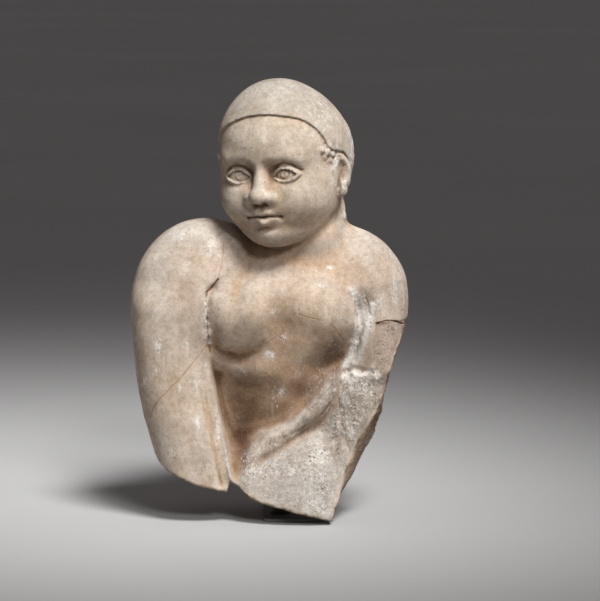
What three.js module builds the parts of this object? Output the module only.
// Terracotta statuette of a boy, hollow and broken below, on a rod with a thin foot plate.
// Millimetres. x to the viewer's right, y to the back (the front is -y), z up.
// Origin: on the foot plate's underside, beside the rod.
import * as THREE from 'three';
import { edgeTable, triTable } from 'three/addons/objects/MarchingCubes.js';

// ---- driving dimensions -------------------------------------------------------------
const WALL = 5.5;                 // fired clay wall
const WALL_MIN = 4.2;             // thinnest wall behind sunk work
const HEAD_C = [3.0, -7.0, 159.2];
const HEAD_TURN = [3.0, -4.0, -24.0];  // degrees about x, y, z
const HEAD_NARROW = 1.03, FACE_SHORT = 0.1;   // a little narrower, with a short lower face
const CAP_THICK = 1.15;
const EYE_X = 11.6, EYE_Z = -2.6, EYE_W = 5.7;
const CHIN_Z = -31.5;
const ROD_R = 3.175, ROD_Y = -4.8, ROD_GAP = 0.3;
const PLATE_W = 29.5, PLATE_D = 44, PLATE_T = 1.2, PLATE_X = 7.25, PLATE_Y = 2, PLATE_CORNER = 3;
const GRID = 1.6;                 // spacing at which the clay surface is worked out
const FACES = 9560;               // facets kept on the clay

// ---- small tools --------------------------------------------------------------------
const { abs, min, max, sqrt, exp, pow, floor, hypot, PI } = Math;
const clamp = (v, a, b) => (v < a ? a : v > b ? b : v);
const smin = (a, b, k) => { const h = max(k - abs(a - b), 0) / k; return min(a, b) - h * h * k * 0.25; };
const smax = (a, b, k) => -smin(-a, -b, k);
const sstep = (a, b, v) => { const t = clamp((v - a) / (b - a), 0, 1); return t * t * (3 - 2 * t); };
const bump = (d, w) => exp(-(d / w) * (d / w));

// rows of the turn that takes a point into a tilted frame
function turnRows([ax, ay, az]) {
  const r = PI / 180, cx = Math.cos(ax * r), sx = Math.sin(ax * r), cy = Math.cos(ay * r), sy = Math.sin(ay * r), cz = Math.cos(az * r), sz = Math.sin(az * r);
  const R = [[cz * cy, cz * sy * sx - sz * cx, cz * sy * cx + sz * sx], [sz * cy, sz * sy * sx + cz * cx, sz * sy * cx - cz * sx], [-sy, cy * sx, cy * cx]];
  return [R[0][0], R[1][0], R[2][0], R[0][1], R[1][1], R[2][1], R[0][2], R[1][2], R[2][2]];
}

// ellipsoid: returns a function of the point
function ell(c, r, rot) {
  const T = rot ? turnRows(rot) : null, [c0, c1, c2] = c, [r0, r1, r2] = r;
  return (x, y, z) => {
    x -= c0; y -= c1; z -= c2;
    if (T) { const a = x, b = y, e = z; x = T[0] * a + T[1] * b + T[2] * e; y = T[3] * a + T[4] * b + T[5] * e; z = T[6] * a + T[7] * b + T[8] * e; }
    const a = x / r0, b = y / r1, e = z / r2;
    const k0 = sqrt(a * a + b * b + e * e) + 1e-6;
    const a1 = a / r0, b1 = b / r1, e1 = e / r2;
    return k0 * (k0 - 1) / (sqrt(a1 * a1 + b1 * b1 + e1 * e1) + 1e-9);
  };
}

// squarer ellipsoid, p above 2
function sell(c, r, p) {
  const [c0, c1, c2] = c, [r0, r1, r2] = r;
  return (x, y, z) => {
    const a = abs(x - c0) / r0, b = abs(y - c1) / r1, e = abs(z - c2) / r2;
    const k = pow(pow(a, p) + pow(b, p) + pow(e, p) + 1e-9, 1 / p), q = pow(k, p - 1);
    const ga = pow(a, p - 1) / r0, gb = pow(b, p - 1) / r1, ge = pow(e, p - 1) / r2;
    return (k - 1) / max(sqrt(ga * ga + gb * gb + ge * ge) / q, 1e-4);
  };
}

// round cone from a to b, section stretched front to back by sy
function cone(a, b, ra, rb, sy = 1) {
  const bx = b[0] - a[0], by = (b[1] - a[1]) / sy, bz = b[2] - a[2], L = bx * bx + by * by + bz * bz;
  return (x, y, z) => {
    const px = x - a[0], py = (y - a[1]) / sy, pz = z - a[2];
    const t = clamp((px * bx + py * by + pz * bz) / L, 0, 1);
    const u = px - t * bx, v = py - t * by, w = pz - t * bz;
    return sqrt(u * u + v * v + w * w) - (ra + (rb - ra) * t);
  };
}

// straight-line table look-up
function table(rows) {
  const s = rows.slice().sort((p, q) => p[0] - q[0]);
  return (v, col = 1) => {
    if (v <= s[0][0]) return s[0][col];
    for (let i = 1; i < s.length; i++) if (v <= s[i][0]) {
      const t = (v - s[i - 1][0]) / (s[i][0] - s[i - 1][0]);
      return s[i - 1][col] + (s[i][col] - s[i - 1][col]) * t;
    }
    return s[s.length - 1][col];
  };
}

// upright bar with a squarish section: rows of z, x centre, y centre, half width, half depth
function bar(rows, p) {
  const f = table(rows);
  return (x, y, z) => {
    const rx = f(z, 3), ry = f(z, 4), a = abs(x - f(z, 1)) / rx, b = abs(y - f(z, 2)) / ry;
    const k = pow(pow(a, p) + pow(b, p) + 1e-9, 1 / p), q = pow(k, p - 1);
    const ga = pow(a, p - 1) / rx, gb = pow(b, p - 1) / ry;
    return (k - 1) / max(sqrt(ga * ga + gb * gb) / q, 1e-4);
  };
}

// distance in a plane to an open line through points, and the share of the way along it
function lineDist(u, v, pts, out) {
  let best = 1e9, along = 0; const n = pts.length - 1;
  for (let i = 0; i < n; i++) {
    const ax = pts[i][0], ay = pts[i][1], dx = pts[i + 1][0] - ax, dy = pts[i + 1][1] - ay;
    const t = clamp(((u - ax) * dx + (v - ay) * dy) / (dx * dx + dy * dy), 0, 1);
    const p = u - ax - t * dx, q = v - ay - t * dy, d = sqrt(p * p + q * q);
    if (d < best) { best = d; along = (i + t) / n; }
  }
  if (out) out.t = along;
  return best;
}

// stroke of relief: amounts spread along the line, plus = raised
function stroke(pts, w, amp) {
  const o = { t: 0 }, list = Array.isArray(amp) ? amp : [amp, amp], m = list.length - 1;
  return (x, z) => {
    const d = lineDist(x, z, pts, o);
    if (d > 3 * w) return 0;
    const s = o.t * m, i = min(floor(s), m - 1);
    return (list[i] + (list[i + 1] - list[i]) * (s - i)) * bump(d, w);
  };
}
const blob = (c, r, amp) => (x, z) => { const a = (x - c[0]) / r[0], b = (z - c[1]) / r[1]; return amp * exp(-a * a - b * b); };

// smooth lattice noise, -1 to 1
function lattice(ix, iy, iz, seed) {
  let n = (Math.imul(ix, 374761393) + Math.imul(iy, 668265263) + Math.imul(iz, 2147483647) + Math.imul(seed, 1274126177)) & 0x7fffffff;
  n = Math.imul(n ^ (n >> 13), 1274126177) & 0x7fffffff;
  n ^= n >> 16;
  return (n & 0xffffff) / 0xffffff;
}
function noise(x, y, z, s, seed) {
  x = x / s + 1000.5; y = y / s + 1000.5; z = z / s + 1000.5;
  const ix = floor(x), iy = floor(y), iz = floor(z);
  let fx = x - ix, fy = y - iy, fz = z - iz, out = 0;
  fx = fx * fx * (3 - 2 * fx); fy = fy * fy * (3 - 2 * fy); fz = fz * fz * (3 - 2 * fz);
  for (let a = 0; a < 2; a++) for (let b = 0; b < 2; b++) for (let c = 0; c < 2; c++)
    out += (a ? fx : 1 - fx) * (b ? fy : 1 - fy) * (c ? fz : 1 - fz) * lattice(ix + a, iy + b, iz + c, seed);
  return out * 2 - 1;
}

// ---- head, in its own frame: x to the figure's left, -y forward, z up -----------------
const skullFront = ell([0, -5, 9], [27.2, 23.5, 28.6]), skullBack = ell([0, 9.5, 3], [26.6, 23.5, 26.5]);
const skull = (x, y, z) => smin(skullFront(x, y, z), skullBack(x, y, z), 10);
const faceBlock = ell([0, -6.5, -8], [25, 21.5, 26]), cheek = ell([12.5, -9.5, -14.5], [13.6, 15.6, 14.5]), jaw = ell([0, -6.5, -23.5], [19, 18.5, 13]);
function headMass(x, y, z) {
  let d = smin(skull(x, y, z), faceBlock(x, y, z), 12);
  d = smin(d, cheek(abs(x), y, z), 9);
  return smin(d, jaw(x, y, z), 8);
}
const F = {
  forehead: ell([0, -14.5, 12.5], [19, 14, 12]), brow: ell([9.5, -22.5, 4.6], [9, 4.6, 3], [0, -8, -8]),
  socket: ell([11.2, -32.6, -1.6], [8, 6.6, 5.2]), inner: ell([5.6, -31.2, -1.2], [3, 4.4, 4]),
  muzzle: ell([0, -21.5, -20], [11.5, 8.8, 9]), apple: ell([12, -19.5, -14.5], [9.5, 8.6, 9]), chin: ell([0, -19.6, CHIN_Z], [8.6, 7.4, 6]), jowl: ell([0, -13.5, -30], [15.5, 11.5, 6.6]),
  ridge: cone([0, -26.6, 1.5], [0, -31.8, -10.5], 2.1, 3.2), tip: ell([0, -32.3, -11.9], [4.1, 4.3, 3.7]), wing: ell([4.5, -29.2, -12.7], [3.1, 4.4, 3]),
  nostril: ell([2.3, -32.4, -15.9], [1.35, 2.4, 1.5]), ball: ell([EYE_X, -21.3, EYE_Z], [6.7, 6.5, 5.6]), lid: ell([EYE_X, -21.3, EYE_Z], [8.5, 7.9, 6.7]),
  lipA: cone([7.2, -26.6, -21], [2.4, -29.9, -19.7], 1, 1.8), lipB: cone([2.4, -29.9, -19.7], [0, -30, -20.1], 1.8, 1.7), lipC: cone([5.2, -26.9, -23.3], [0, -29.6, -24.6], 1.2, 2.3),
};
const FOLD = [[5.2, -0.7], [8, 2.5], [11.5, 3.8], [15, 2.7], [18.4, -0.6]], MOUTH = [[0, -22.1], [2.4, -21.7], [5, -21.9], [8, -22.2]];
function face(x, y, z, d) {
  const ax = sqrt(x * x + 0.05);
  d = smin(d, F.forehead(x, y, z), 10);
  d = smin(d, F.brow(ax, y, z), 6);
  d = smax(d, -F.socket(ax, y, z), 5);
  d = smax(d, -F.inner(ax, y, z), 4);
  d = smin(d, F.muzzle(x, y, z), 6);
  d = smin(d, F.apple(ax, y, z), 6);
  d = smin(d, F.chin(x, y, z), 6);
  d = smin(d, F.jowl(x, y, z), 5);
  d = smin(d, smin(smin(F.ridge(x, y, z), F.tip(x, y, z), 2.5), F.wing(ax, y, z), 2), 3.4);
  d = smax(d, -F.nostril(ax, y, z), 1.4);
  // eyeball between two lids
  const u = (ax - EYE_X) / EYE_W, v = z - EYE_Z - 0.35 * u;
  const almond = max(v - (3.15 * (1 - u * u) + 0.1), -2.35 * (1 - u * u) - 0.1 - v) * 0.85;
  d = smin(d, F.ball(ax, y, z), 0.5);
  d = smin(d, max(max(F.lid(ax, y, z), -almond), almond - 1.5), 0.7);
  d += 0.8 * bump(lineDist(ax, z, FOLD), 0.75) * sstep(-14, -20, y);
  // the iris is an incised ring
  const iris = hypot(ax - EYE_X + 0.4, z - EYE_Z - 0.7);
  d += (0.42 * bump(iris - 2.2, 0.42) + 0.5 * bump(iris, 0.9)) * sstep(-18, -22, y) * sstep(0.6, -0.3, almond);
  // lips
  d = smin(d, smin(F.lipA(ax, y, z), F.lipB(ax, y, z), 0.8), 1.3);
  d = smin(d, F.lipC(ax, y, z), 1.3);
  d += 1.5 * bump(lineDist(ax, z, MOUTH), 0.65) * sstep(-20, -25, y);
  d += 0.9 * bump(hypot(ax - 8.4, z + 22.3), 1.5) * sstep(-18, -23, y);
  d += 0.6 * bump(ax, 1.3) * bump(z + 17.3, 1.9) * sstep(-18, -24, y);
  d += 1.4 * bump(hypot(x * 0.42, z + 27.9), 1.9) * sstep(-16, -22, y);
  return d;
}
// close-fitting cap; its edge is given as height by the angle round the head, 0 at the forehead, over the ears and down to the nape
const capEdge = table([[-180, -24], [-130, -24], [-114, -18], [-103, -4], [-92, 6], [-78, 10.5], [-62, 13.5], [-50, 16.2], [-34, 20.9], [-22, 23.1], [-10, 24.5], [2, 24.9], [13, 24.8], [23, 24.1], [33, 23.1],
  [40, 22], [46.5, 20.4], [51.5, 18.3], [56, 16.3], [62, 12], [65, 8.7], [69, 6.6], [78, 5.6], [88, 4.4], [95, 1], [104, -9], [114, -19], [130, -24], [180, -24]]);
const earBody = ell([27.2, -3.4, -5.4], [4.4, 6.4, 10.2], [8, 6, -22]), earHollow = ell([31.6, -5.6, -4.2], [3.6, 3.4, 6], [8, 0, -22]), earLobe = ell([28.6, -5.2, -13.4], [2.8, 3.2, 3.4]);
const CURLS = [[[25.2, -15.6, 7.2], 1.7], [[26.4, -12.6, 5.6], 1.9], [[27.2, -9.6, 4.6], 1.8], [[26.6, -11.8, 2.0], 1.5], [[27.3, -8.6, 1.4], 1.4], [[25.6, -14.6, 3.6], 1.3]].map(([c, r]) => ell(c, [r, r, r]));
function head(x, y, z) {
  let d = face(x, y, z, headMass(x, y, z));
  const ax = abs(x);
  d = smin(d, smin(smax(earBody(ax, y, z), -earHollow(ax, y, z), 1), earLobe(ax, y, z), 1.5), 1.4);
  for (const c of CURLS) d = smin(d, c(ax, y, z), 0.6);
  const over = min(skull(x, y, z) - 1, d - CAP_THICK);
  return min(d, smax(over, (capEdge(Math.atan2(x, -y) * 180 / PI) - z) * 0.75, 0.7));
}

// ---- body ---------------------------------------------------------------------------
const chest = sell([1, 0, 90], [37, 24.5, 33], 2.5), belly = sell([1, 1, 56], [34, 18.5, 27], 2.3), highChest = ell([3, -9, 101.5], [30, 18.8, 15]);
const shoulders = cone([-26, 2, 115], [30, 2, 115], 14, 13), neck = cone([8, -1.5, 112], [8.3, -1, 138], 22, 20.6, 0.86), underJaw = ell([13.5, -7.5, 132], [14, 15, 17]);
const armBar = bar([[110, -48.5, -3, 17.5, 21], [95, -49.2, -3.5, 17.2, 21.5], [84, -49.3, -4, 16.9, 21.5], [62, -46.9, -4, 17.3, 21.5], [46, -43.6, -4, 17.6, 21.5],
  [35, -41.2, -4, 16.8, 21.5], [24, -38.3, -4, 16.6, 22], [12, -35.5, -4, 16.5, 22]], 2.5);
const shoulderR = ell([-33, -1.5, 98], [33.3, 24, 36.5]), shoulderL = ell([30, 0.5, 97], [27.4, 20.5, 33.3]);
const upperArmL = cone([39.5, 0, 104], [45.5, -4.5, 68], 16.5, 11.4, 1.28);
const cloakBar = bar([[100, 38, 2, 17, 15], [84, 40, 2, 17, 16], [62, 38, 1, 17, 17], [48, 36, 0, 17, 17.5], [30, 30, -1, 17, 17], [10, 22, -2, 17, 19]], 2.3);
const backMass = ell([-5, 9, 60], [52, 16.5, 70]), lapSheet = ell([5, -7, 3], [37, 24, 39], [0, 8, 0]);

const torso = (x, y, z) => smin(smin(smin(smin(smin(chest(x, y, z), belly(x, y, z), 7), highChest(x, y, z), 7), shoulders(x, y, z), 10), neck(x, y, z), 7), underJaw(x, y, z), 7);
const armR = (x, y, z) => smin(smax(armBar(x, y, z), z - 106, 12), shoulderR(x, y, z), 4);
// the cloth that hangs from the wrapped arm beside the belly
const hangBar = bar([[84, -41, -4, 6.5, 13], [79.5, -39.5, -4, 7.8, 15.5], [66, -38, -4, 9.0, 17], [52.7, -36, -4, 10.6, 17.5],
  [39.2, -33.6, -4, 11.8, 18], [25.8, -31, -4, 12.8, 18.5], [12, -28, -4, 13.2, 18.5]], 2.8);
const hanging = (x, y, z) => smax(hangBar(x, y, z), z - 82, 8);
const cloakL = (x, y, z) => smax(cloakBar(x, y, z), z - 92, 10);

// relief on the front, millimetres along the surface normal, in the front view (x, z)
const RELIEF = [
  // groove between the wrapped arm and the chest, and the nick at the armpit
  stroke([[-26.6, 109.6], [-29.0, 106.2], [-31.8, 102.4], [-32.1, 94], [-32.3, 86.4], [-31.8, 79.5], [-29.2, 66.1], [-25.6, 52.7]], 1.3, [-0.4, -1.8, -1.9, -1.6, -1.6, -1.0, -0.6, -0.2]),
  blob([-29.8, 105.0], [3.0, 2.2], -1.0),
  // breast
  blob([-15.5, 92.0], [13.0, 11.0], 5.0),
  stroke([[-31.3, 80.5], [-25.6, 76.0], [-18.5, 74.2], [-10.9, 77.0], [-5.2, 82.5]], 3.2, [-1.6, -3.4, -3.6, -2.2, -0.2]),
  stroke([[-29.5, 98], [-30.0, 88], [-28.0, 79]], 3.0, [-0.4, -1.8, -1.6]),
  blob([19.5, 91.0], [12.5, 12], 4.2),
  stroke([[31.5, 82.0], [26.5, 74.0], [18.0, 70.0], [9.0, 71.5]], 4.5, [-2.6, -3.8, -2.6, -0.3]),
  stroke([[1.0, 104.0], [0.5, 90.0], [-1.0, 78.0]], 5.5, [-0.1, -1.4, -0.8]),
  // belly
  blob([-9, 66], [11, 6], 1.8),
  blob([9, 60], [10, 7], 1.0),
  blob([-16, 48], [14, 13], -4.0),
  blob([-15, 36], [8, 9], -2.2),
  // groove between the chest and the side, down to the lower break
  stroke([[32.1, 104.9], [34.8, 95.0], [35.6, 88.0], [34.4, 79.0], [31.6, 71.0], [28.2, 62.0], [27.2, 54.0], [27.6, 46.0], [29.0, 37.0], [31.2, 28.1]], 1.9, [-0.4, -2.4, -2.6, -1.6, -1.8, -2.2, -1.9, -1.9, -1.7, -0.8]),
  blob([38.4, 95.5], [4.0, 7.0], -2.6),
  // the bunched upper edge of the cloak, and the folds under it
  stroke([[27.2, 68.0], [21.4, 60.7], [16.1, 54.0], [11.2, 47.8], [3.2, 41.0], [-6.1, 37.7], [-12.3, 34.3], [-17.0, 29.5]], 3.4, [0.4, 1.2, 2.0, 2.6, 3.2, 3.4, 2.8, 1.2]),
  stroke([[25.6, 58.0], [18.5, 50.5], [12.5, 43.5], [5.5, 38.0], [-2.1, 33.9], [-9.7, 30.3], [-15.5, 25.5]], 2.2, [0.3, 0.8, 0.8, 1.4, 2.0, 1.8, 0.8]),
  stroke([[23.5, 50.0], [16.0, 43.0], [9.9, 39.0], [3.2, 35.3], [-6.1, 29.0], [-13.6, 25.5]], 3.0, [-0.3, -1.2, -2.0, -2.2, -1.8, -0.6]),
  stroke([[22.8, 34.8], [12.6, 33.6], [4.6, 30.6], [-2.0, 27.0]], 1.8, [0.6, 1.0, 0.9, 0.2]),
  // lump of cloth under the lost forearm
  blob([37, 56], [6.5, 10.0], 1.6),
  stroke([[30, 66.8], [36, 67.6], [42, 67.0]], 1.6, -1.0),
  // folds at the inner edge of the wrapped arm
  stroke([[-31.5, 66], [-27.0, 46.0], [-22.6, 24.0], [-20.6, 14.0]], 1.3, [0.2, 1.2, 1.6, 1.6]),
  stroke([[-34.6, 60.0], [-30.6, 40.0], [-26.4, 18.0]], 1.3, [-0.1, -1.0, -1.5]),
];
function relief(x, z) { let r = 0; for (const f of RELIEF) r += f(x, z); return r; }
// folds of the cloak drawn across the back, in the same view
const BACK_FOLDS = [
  stroke([[-30.0, 121.0], [-14.0, 110.0], [4.0, 100.0], [24.0, 92.0], [42.0, 88.0]], 2.6, [0.5, 1.5, 1.6, 1.3, 0.6]),
  stroke([[-34.0, 117.0], [-16.0, 105.5], [4.0, 95.5], [24.0, 87.5], [42.0, 84.0]], 2.2, [-0.2, -0.8, -0.9, -0.8, -0.3]),
  stroke([[-45.0, 108.0], [-30.0, 92.0], [-10.0, 76.0], [14.0, 63.0], [38.0, 55.0]], 3.4, [0.3, 1.2, 1.7, 1.4, 0.5]),
  stroke([[-46.0, 100.0], [-32.0, 84.0], [-12.0, 68.0], [12.0, 56.0], [34.0, 49.0]], 2.6, [-0.1, -0.8, -1.1, -0.9, -0.3]),
  stroke([[-50.0, 88.0], [-38.0, 68.0], [-20.0, 50.0], [2.0, 37.0], [24.0, 29.0]], 3.2, [0.2, 1.2, 1.6, 1.4, 0.6]),
  stroke([[-50.0, 79.0], [-39.0, 59.0], [-21.0, 42.0], [0.0, 29.5], [20.0, 22.0]], 2.4, [-0.1, -0.8, -1.1, -0.9, -0.3]),
  stroke([[-51.0, 66.0], [-42.0, 48.0], [-28.0, 33.0], [-12.0, 22.0]], 2.8, [0.2, 1.1, 1.3, 0.8]),
  stroke([[18.0, 84.0], [27.0, 68.0], [33.0, 50.0]], 3.0, [0.2, 0.9, 0.3]),
];
function backFolds(x, z) { let r = 0; for (const f of BACK_FOLDS) r += f(x, z); return r; }

const HT = turnRows(HEAD_TURN);
function headLocal(x, y, z) {
  const a = x - HEAD_C[0], b = y - HEAD_C[1], e = z - HEAD_C[2];
  const h = HT[6] * a + HT[7] * b + HT[8] * e;
  return [HEAD_NARROW * (HT[0] * a + HT[1] * b + HT[2] * e), HT[3] * a + HT[4] * b + HT[5] * e, h + FACE_SHORT * min(h - 4, 0)];
}
function outer(x, y, z, h) {
  let d = smin(torso(x, y, z), smin(armR(x, y, z), hanging(x, y, z), 4), 1.6);
  const arm = smax(upperArmL(x, y, z), 60 - z, 8);
  d = smin(d, smin(shoulderL(x, y, z), arm, 3), 5);
  d = smin(d, backMass(x, y, z), 8);
  d = smin(d, cloakL(x, y, z), 4);
  // joint face of the lost forearm, a little deeper, under a short ledge
  d += 0.55 * sstep(42.1, 42.7, x) * sstep(89.9, 89.4, z) * sstep(-4, -7, y);
  d = smin(d, lapSheet(x, y, z), 6);
  const s = sstep(4, -8, y);
  if (s > 0 && d < 12) d -= relief(x, z) * s;
  const sb = sstep(5, 13, y);
  if (sb > 0 && d < 12) d -= backFolds(x, z) * sb;
  return h[2] < -60 ? d : smin(d, head(h[0], h[1], h[2]), 2.5);
}
function bodyMass(x, y, z) {
  let d = smin(torso(x, y, z), armR(x, y, z), 4);
  d = smin(d, shoulderL(x, y, z), 6);
  d = smin(d, backMass(x, y, z), 8);
  d = smin(d, cloakL(x, y, z), 4);
  return smin(d, lapSheet(x, y, z), 6);
}
// lower break, from the wrapped arm down to the right corner, with a notch
const breakFront = table([[-70, 36], [-56.0, 28.3], [-53.2, 25.2], [-50.4, 23.2], [-45.2, 20.9], [-41.6, 19.2], [-38.1, 17.8], [-34.5, 16.2], [-31.0, 15.5], [-27.4, 14.7], [-23.6, 13.9], [-22.0, 19.6], [-18.6, 16.4],
  [-13.3, 12.1], [-7.9, 10.2], [2.3, 7.1], [13.5, 3.9], [22.4, 1.6], [40, 1.4]]);
const breakRear = table([[-70, 38], [-50, 28], [-30, 20], [-8, 15], [10, 11], [24, 9], [45, 10]]);
// right-hand break, outer skin and inner skin
const sideOut = table([[-4, 21.5], [-0.5, 22.4], [7.3, 25.4], [15.5, 28.4], [24.6, 30.4], [29.1, 32.2], [35.9, 35.0], [47.3, 42.1], [52.7, 45.2], [66.7, 49.2], [78.9, 53.7],
  [89.3, 56.7], [91, 60], [120, 75]]);
const sideIn = table([[-4, 22.4], [5.0, 23.5], [10.5, 25.4], [15.7, 29.2], [21.0, 33.0], [26.5, 35.6], [32.0, 38.9], [37.5, 42.1], [43.0, 43.5], [48.6, 46.0], [56, 46.8], [66.7, 49.5],
  [78.9, 54], [91, 61], [120, 75]]);

function clay(x, y, z) {
  const h = headLocal(x, y, z), d0 = outer(x, y, z, h);
  let inner = bodyMass(x, y, z);
  if (h[2] > -60) inner = smin(inner, headMass(h[0], h[1], h[2]), 6);
  inner = smax(inner + WALL, d0 + WALL_MIN, 2);
  let d = smax(d0, -inner, 1);
  if (z > 110) return d;
  const depth = clamp(-d0 / 5, 0, 1);
  const n = 0.33 * noise(x, y, z, 5, 3) + 0.18 * noise(x, y, z, 2.2, 5);
  const t = sstep(-12, 10, y), zb = breakFront(x) * (1 - t) + breakRear(x) * t - 0.8 * depth;
  d = smax(d, (zb - z) * 0.92 + n, 0.6);
  const xb = sideOut(z) * (1 - depth) + sideIn(z) * depth - 2 * sstep(-2, 8, y);
  return smax(d, (x - xb) * 0.9 + n, 0.6);
}

// ---- surface of the clay ------------------------------------------------------------
function surface(f, lo, hi, h) {
  const n = [0, 1, 2].map((i) => Math.ceil((hi[i] - lo[i]) / h) + 1), [nx, ny, nz] = n;
  const V = new Float32Array(nx * ny * nz), at = (i, j, k) => (i * ny + j) * nz + k;
  for (let i = 0; i < nx; i++) for (let j = 0; j < ny; j++) for (let k = 0; k < nz; k++) {
    let v = f(lo[0] + i * h, lo[1] + j * h, lo[2] + k * h);
    if (abs(v) < 0.02 * h) v = v < 0 ? -0.02 * h : 0.02 * h;
    V[at(i, j, k)] = v;
  }
  const C = [[0, 0, 0], [1, 0, 0], [1, 1, 0], [0, 1, 0], [0, 0, 1], [1, 0, 1], [1, 1, 1], [0, 1, 1]];
  const E = [[0, 1], [1, 2], [2, 3], [3, 0], [4, 5], [5, 6], [6, 7], [7, 4], [0, 4], [1, 5], [2, 6], [3, 7]];
  const pos = [], tris = [], seen = new Map();
  const point = (a, b) => {
    const ka = at(...a), kb = at(...b), key = ka < kb ? ka * 4 + (kb - ka === 1 ? 0 : kb - ka === nz ? 1 : 2) : kb * 4 + (ka - kb === 1 ? 0 : ka - kb === nz ? 1 : 2);
    let id = seen.get(key);
    if (id === undefined) {
      const t = V[ka] / (V[ka] - V[kb]);
      id = pos.length / 3;
      for (let q = 0; q < 3; q++) pos.push(lo[q] + (a[q] + (b[q] - a[q]) * t) * h);
      seen.set(key, id);
    }
    return id;
  };
  for (let i = 0; i < nx - 1; i++) for (let j = 0; j < ny - 1; j++) for (let k = 0; k < nz - 1; k++) {
    let bits = 0;
    for (let q = 0; q < 8; q++) if (V[at(i + C[q][0], j + C[q][1], k + C[q][2])] < 0) bits |= 1 << q;
    if (!edgeTable[bits]) continue;
    const ids = new Array(12);
    for (let e = 0; e < 12; e++) if (edgeTable[bits] & (1 << e)) {
      const [p, q] = E[e];
      ids[e] = point([i + C[p][0], j + C[p][1], k + C[p][2]], [i + C[q][0], j + C[q][1], k + C[q][2]]);
    }
    for (let q = bits * 16; triTable[q] !== -1; q += 3) tris.push(ids[triTable[q]], ids[triTable[q + 1]], ids[triTable[q + 2]]);
  }
  return { pos, tris };
}

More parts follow.
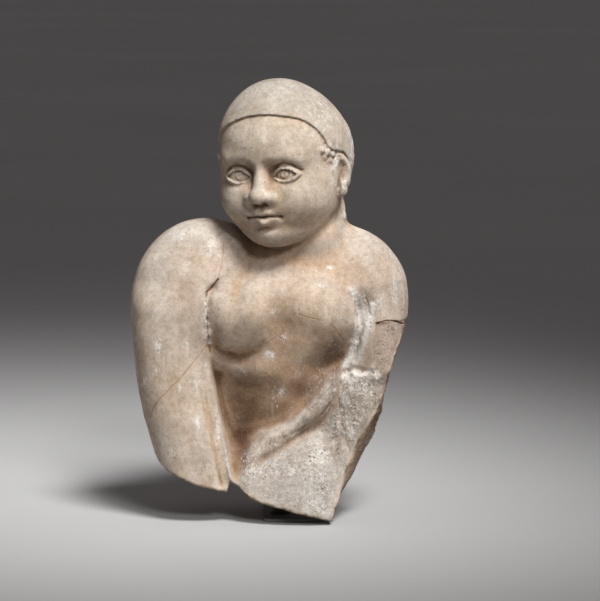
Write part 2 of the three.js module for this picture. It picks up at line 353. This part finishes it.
// fewer facets by collapsing the edges that matter least; weight says how much a place matters
function thin({ pos, tris }, keep, weight) {
  const nv = pos.length / 3, P = Float64Array.from(pos), T = Int32Array.from(tris), nf = T.length / 3;
  const Q = new Float64Array(nv * 10), ring = Array.from({ length: nv }, () => []), dead = new Uint8Array(nf), gone = new Uint8Array(nv), stamp = new Int32Array(nv);
  const normal = (a, b, c, o) => {
    const ux = P[b * 3] - P[a * 3], uy = P[b * 3 + 1] - P[a * 3 + 1], uz = P[b * 3 + 2] - P[a * 3 + 2];
    const vx = P[c * 3] - P[a * 3], vy = P[c * 3 + 1] - P[a * 3 + 1], vz = P[c * 3 + 2] - P[a * 3 + 2];
    o[0] = uy * vz - uz * vy; o[1] = uz * vx - ux * vz; o[2] = ux * vy - uy * vx;
    return sqrt(o[0] * o[0] + o[1] * o[1] + o[2] * o[2]);
  };
  const n = [0, 0, 0], m = [0, 0, 0];
  for (let f = 0; f < nf; f++) {
    const a = T[f * 3], b = T[f * 3 + 1], c = T[f * 3 + 2], L = normal(a, b, c, n);
    ring[a].push(f); ring[b].push(f); ring[c].push(f);
    if (L < 1e-12) continue;
    const x = n[0] / L, y = n[1] / L, z = n[2] / L, d = -(x * P[a * 3] + y * P[a * 3 + 1] + z * P[a * 3 + 2]);
    const w = L * weight((P[a * 3] + P[b * 3] + P[c * 3]) / 3, (P[a * 3 + 1] + P[b * 3 + 1] + P[c * 3 + 1]) / 3, (P[a * 3 + 2] + P[b * 3 + 2] + P[c * 3 + 2]) / 3);
    const q = [x * x, x * y, x * z, x * d, y * y, y * z, y * d, z * z, z * d, d * d];
    for (const v of [a, b, c]) for (let i = 0; i < 10; i++) Q[v * 10 + i] += w * q[i];
  }
  const q = new Float64Array(10);
  const cost = (x, y, z) => q[0] * x * x + 2 * q[1] * x * y + 2 * q[2] * x * z + 2 * q[3] * x + q[4] * y * y + 2 * q[5] * y * z + 2 * q[6] * y + q[7] * z * z + 2 * q[8] * z + q[9];
  const best = (a, b) => {
    for (let i = 0; i < 10; i++) q[i] = Q[a * 10 + i] + Q[b * 10 + i];
    const ax = P[a * 3], ay = P[a * 3 + 1], az = P[a * 3 + 2], bx = P[b * 3], by = P[b * 3 + 1], bz = P[b * 3 + 2];
    const l2 = (ax - bx) ** 2 + (ay - by) ** 2 + (az - bz) ** 2;
    const tr = (q[0] + q[4] + q[7]) * 1e-3 + 1e-12;
    // pull towards the middle of the edge keeps flat areas even
    const mx = (ax + bx) / 2, my = (ay + by) / 2, mz = (az + bz) / 2;
    const A = q[0] + tr, B = q[1], C = q[2], D = q[4] + tr, E = q[5], G = q[7] + tr;
    const r0 = -q[3] + tr * mx, r1 = -q[6] + tr * my, r2 = -q[8] + tr * mz;
    const c0 = D * G - E * E, c1 = C * E - B * G, c2 = B * E - C * D, det = A * c0 + B * c1 + C * c2;
    let x = mx, y = my, z = mz;
    if (abs(det) > 1e-12) {
      x = (r0 * c0 + r1 * c1 + r2 * c2) / det;
      y = (r0 * c1 + r1 * (A * G - C * C) + r2 * (B * C - A * E)) / det;
      z = (r0 * c2 + r1 * (B * C - A * E) + r2 * (A * D - B * B)) / det;
      if ((x - mx) ** 2 + (y - my) ** 2 + (z - mz) ** 2 > l2) { x = mx; y = my; z = mz; }
    }
    return [max(cost(x, y, z), 0) + 1e-6 * l2 * (q[0] + q[4] + q[7]), x, y, z];
  };
  // binary heap of edges
  const heap = [];
  const push = (e) => { let i = heap.push(e) - 1; while (i > 0) { const p = (i - 1) >> 1; if (heap[p][0] <= e[0]) break; heap[i] = heap[p]; i = p; } heap[i] = e; };
  const pop = () => {
    const top = heap[0], e = heap.pop(), L = heap.length;
    if (L) { let i = 0; for (;;) { let c = 2 * i + 1; if (c >= L) break; if (c + 1 < L && heap[c + 1][0] < heap[c][0]) c++; if (heap[c][0] >= e[0]) break; heap[i] = heap[c]; i = c; } heap[i] = e; }
    return top;
  };
  const add = (a, b) => { const r = best(a, b); push([r[0], a, b, stamp[a], stamp[b], r[1], r[2], r[3]]); };
  for (let f = 0; f < nf; f++) for (let e = 0; e < 3; e++) { const a = T[f * 3 + e], b = T[f * 3 + (e + 1) % 3]; if (a < b) add(a, b); }
  const around = (v) => { const s = new Set(); for (const f of ring[v]) for (let i = 0; i < 3; i++) if (T[f * 3 + i] !== v) s.add(T[f * 3 + i]); return s; };
  let left = nf;
  const o0 = [0, 0, 0];
  while (left > keep && heap.length) {
    const [, a, b, sa, sb, x, y, z] = pop();
    if (gone[a] || gone[b] || stamp[a] !== sa || stamp[b] !== sb) continue;
    const A = around(a), B = around(b);
    let common = 0; for (const v of A) if (B.has(v)) common++;
    if (common !== 2) continue;
    let bad = false;
    for (const [v, w] of [[a, b], [b, a]]) {
      for (const f of ring[v]) {
        const i = T[f * 3], j = T[f * 3 + 1], k = T[f * 3 + 2];
        if (i === w || j === w || k === w) continue;
        const L0 = normal(i, j, k, n);
        o0[0] = P[v * 3]; o0[1] = P[v * 3 + 1]; o0[2] = P[v * 3 + 2];
        P[v * 3] = x; P[v * 3 + 1] = y; P[v * 3 + 2] = z;
        const L1 = normal(i, j, k, m);
        let longest = 0;
        for (const [p, r] of [[i, j], [j, k], [k, i]]) longest = max(longest, (P[p * 3] - P[r * 3]) ** 2 + (P[p * 3 + 1] - P[r * 3 + 1]) ** 2 + (P[p * 3 + 2] - P[r * 3 + 2]) ** 2);
        P[v * 3] = o0[0]; P[v * 3 + 1] = o0[1]; P[v * 3 + 2] = o0[2];
        if (L1 < 0.06 * longest || (L0 > 1e-9 && n[0] * m[0] + n[1] * m[1] + n[2] * m[2] < 0.35 * L0 * L1)) { bad = true; break; }
      }
      if (bad) break;
    }
    if (bad) continue;
    P[a * 3] = x; P[a * 3 + 1] = y; P[a * 3 + 2] = z;
    for (let i = 0; i < 10; i++) Q[a * 10 + i] += Q[b * 10 + i];
    const keepF = ring[a].filter((f) => T[f * 3] !== b && T[f * 3 + 1] !== b && T[f * 3 + 2] !== b);
    for (const f of ring[b]) {
      if (T[f * 3] === a || T[f * 3 + 1] === a || T[f * 3 + 2] === a) {
        dead[f] = 1; left--;
        for (let i = 0; i < 3; i++) { const v = T[f * 3 + i]; if (v !== a && v !== b) ring[v] = ring[v].filter((g) => g !== f); }
      } else { for (let i = 0; i < 3; i++) if (T[f * 3 + i] === b) T[f * 3 + i] = a; keepF.push(f); }
    }
    ring[a] = keepF; ring[b] = []; gone[b] = 1; stamp[a]++;
    for (const v of around(a)) add(a, v);
  }
  const map = new Int32Array(nv).fill(-1), out = [], idx = [];
  for (let f = 0; f < nf; f++) if (!dead[f]) for (let i = 0; i < 3; i++) {
    const v = T[f * 3 + i];
    if (map[v] < 0) { map[v] = out.length / 3; out.push(P[v * 3], P[v * 3 + 1], P[v * 3 + 2]); }
    idx.push(map[v]);
  }
  return { pos: out, tris: idx };
}

// keep the largest closed skin that holds all the clay
function mainShell({ pos, tris }) {
  const nv = pos.length / 3, up = Int32Array.from({ length: nv }, (_, i) => i);
  const root = (i) => { while (up[i] !== i) { up[i] = up[up[i]]; i = up[i]; } return i; };
  for (let t = 0; t < tris.length; t += 3) { const a = root(tris[t]); up[root(tris[t + 1])] = a; up[root(tris[t + 2])] = a; }
  const count = new Map();
  for (let t = 0; t < tris.length; t += 3) { const r = root(tris[t]); count.set(r, (count.get(r) || 0) + 1); }
  const big = [...count.entries()].sort((p, q) => q[1] - p[1])[0][0];
  const idx = [];
  for (let t = 0; t < tris.length; t += 3) if (root(tris[t]) === big) idx.push(tris[t], tris[t + 1], tris[t + 2]);
  return { pos, tris: idx };
}

const raw = mainShell(surface(clay, [-70, -44, -2], [61, 31, 201], GRID));
// the face keeps the most facets, the inside of the hollow the fewest
const skin = thin(raw, FACES, (x, y, z) => {
  const h = headLocal(x, y, z);
  if (h[2] > -38 && h[2] < 12 && h[1] < -14 && abs(h[0]) < 22 && outer(x, y, z, h) > -1.5) return 14;
  return outer(x, y, z, h) < -2.2 ? 0.12 : 1;
});
let volume = 0;
for (let t = 0; t < skin.tris.length; t += 3) {
  const [a, b, c] = [0, 1, 2].map((i) => skin.pos.slice(skin.tris[t + i] * 3, skin.tris[t + i] * 3 + 3));
  volume += (a[0] * (b[1] * c[2] - b[2] * c[1]) + a[1] * (b[2] * c[0] - b[0] * c[2]) + a[2] * (b[0] * c[1] - b[1] * c[0])) / 6;
}
if (volume < 0) for (let t = 0; t < skin.tris.length; t += 3) [skin.tris[t + 1], skin.tris[t + 2]] = [skin.tris[t + 2], skin.tris[t + 1]];
const clayGeometry = new THREE.BufferGeometry();
clayGeometry.setAttribute('position', new THREE.Float32BufferAttribute(skin.pos, 3));
clayGeometry.setIndex(skin.tris);
clayGeometry.computeVertexNormals();

// ---- rod and foot -------------------------------------------------------------------
// the rod stops just short of the inside of the crown
let rodTop = 150;
for (; rodTop < 196; rodTop += 0.1) {
  let near = 1e9;
  for (let a = 0; a < 16; a++) {
    const x = ROD_R * Math.cos(a * PI / 8), y = ROD_Y + ROD_R * Math.sin(a * PI / 8);
    near = min(near, clay(x, y, rodTop + ROD_GAP));
  }
  near = min(near, clay(0, ROD_Y, rodTop + ROD_GAP));
  if (near < 0.75) break;
}
const rodFoot = PLATE_T + ROD_GAP, rodLength = rodTop - rodFoot;
const rodGeometry = new THREE.CylinderGeometry(ROD_R, ROD_R, rodLength, 32).rotateX(PI / 2).translate(0, ROD_Y, rodFoot + rodLength / 2);

const outline = new THREE.Shape();
const hw = PLATE_W / 2, hd = PLATE_D / 2, r = PLATE_CORNER;
outline.moveTo(-hw + r, -hd);
outline.lineTo(hw - r, -hd); outline.absarc(hw - r, -hd + r, r, -PI / 2, 0, false);
outline.lineTo(hw, hd - r); outline.absarc(hw - r, hd - r, r, 0, PI / 2, false);
outline.lineTo(-hw + r, hd); outline.absarc(-hw + r, hd - r, r, PI / 2, PI, false);
outline.lineTo(-hw, -hd + r); outline.absarc(-hw + r, -hd + r, r, PI, 1.5 * PI, false);
const plateGeometry = new THREE.ExtrudeGeometry(outline, { depth: PLATE_T, bevelEnabled: false, curveSegments: 5 }).translate(PLATE_X, PLATE_Y, 0);

const terracotta = new THREE.MeshStandardMaterial({ color: 0xb39a7d, roughness: 0.92, metalness: 0 });
const blackSteel = new THREE.MeshStandardMaterial({ color: 0x1b1a19, roughness: 0.6, metalness: 0.2 });
const greySteel = new THREE.MeshStandardMaterial({ color: 0x6f6d6b, roughness: 0.6, metalness: 0.2 });
const group = new THREE.Group();
group.name = 'boy_statuette';
for (const [name, geometry, material] of [['statuette', clayGeometry, terracotta], ['support_rod', rodGeometry, blackSteel], ['foot_plate', plateGeometry, greySteel]]) {
  const mesh = new THREE.Mesh(geometry, material);
  mesh.name = name;
  group.add(mesh);
}
export default group;
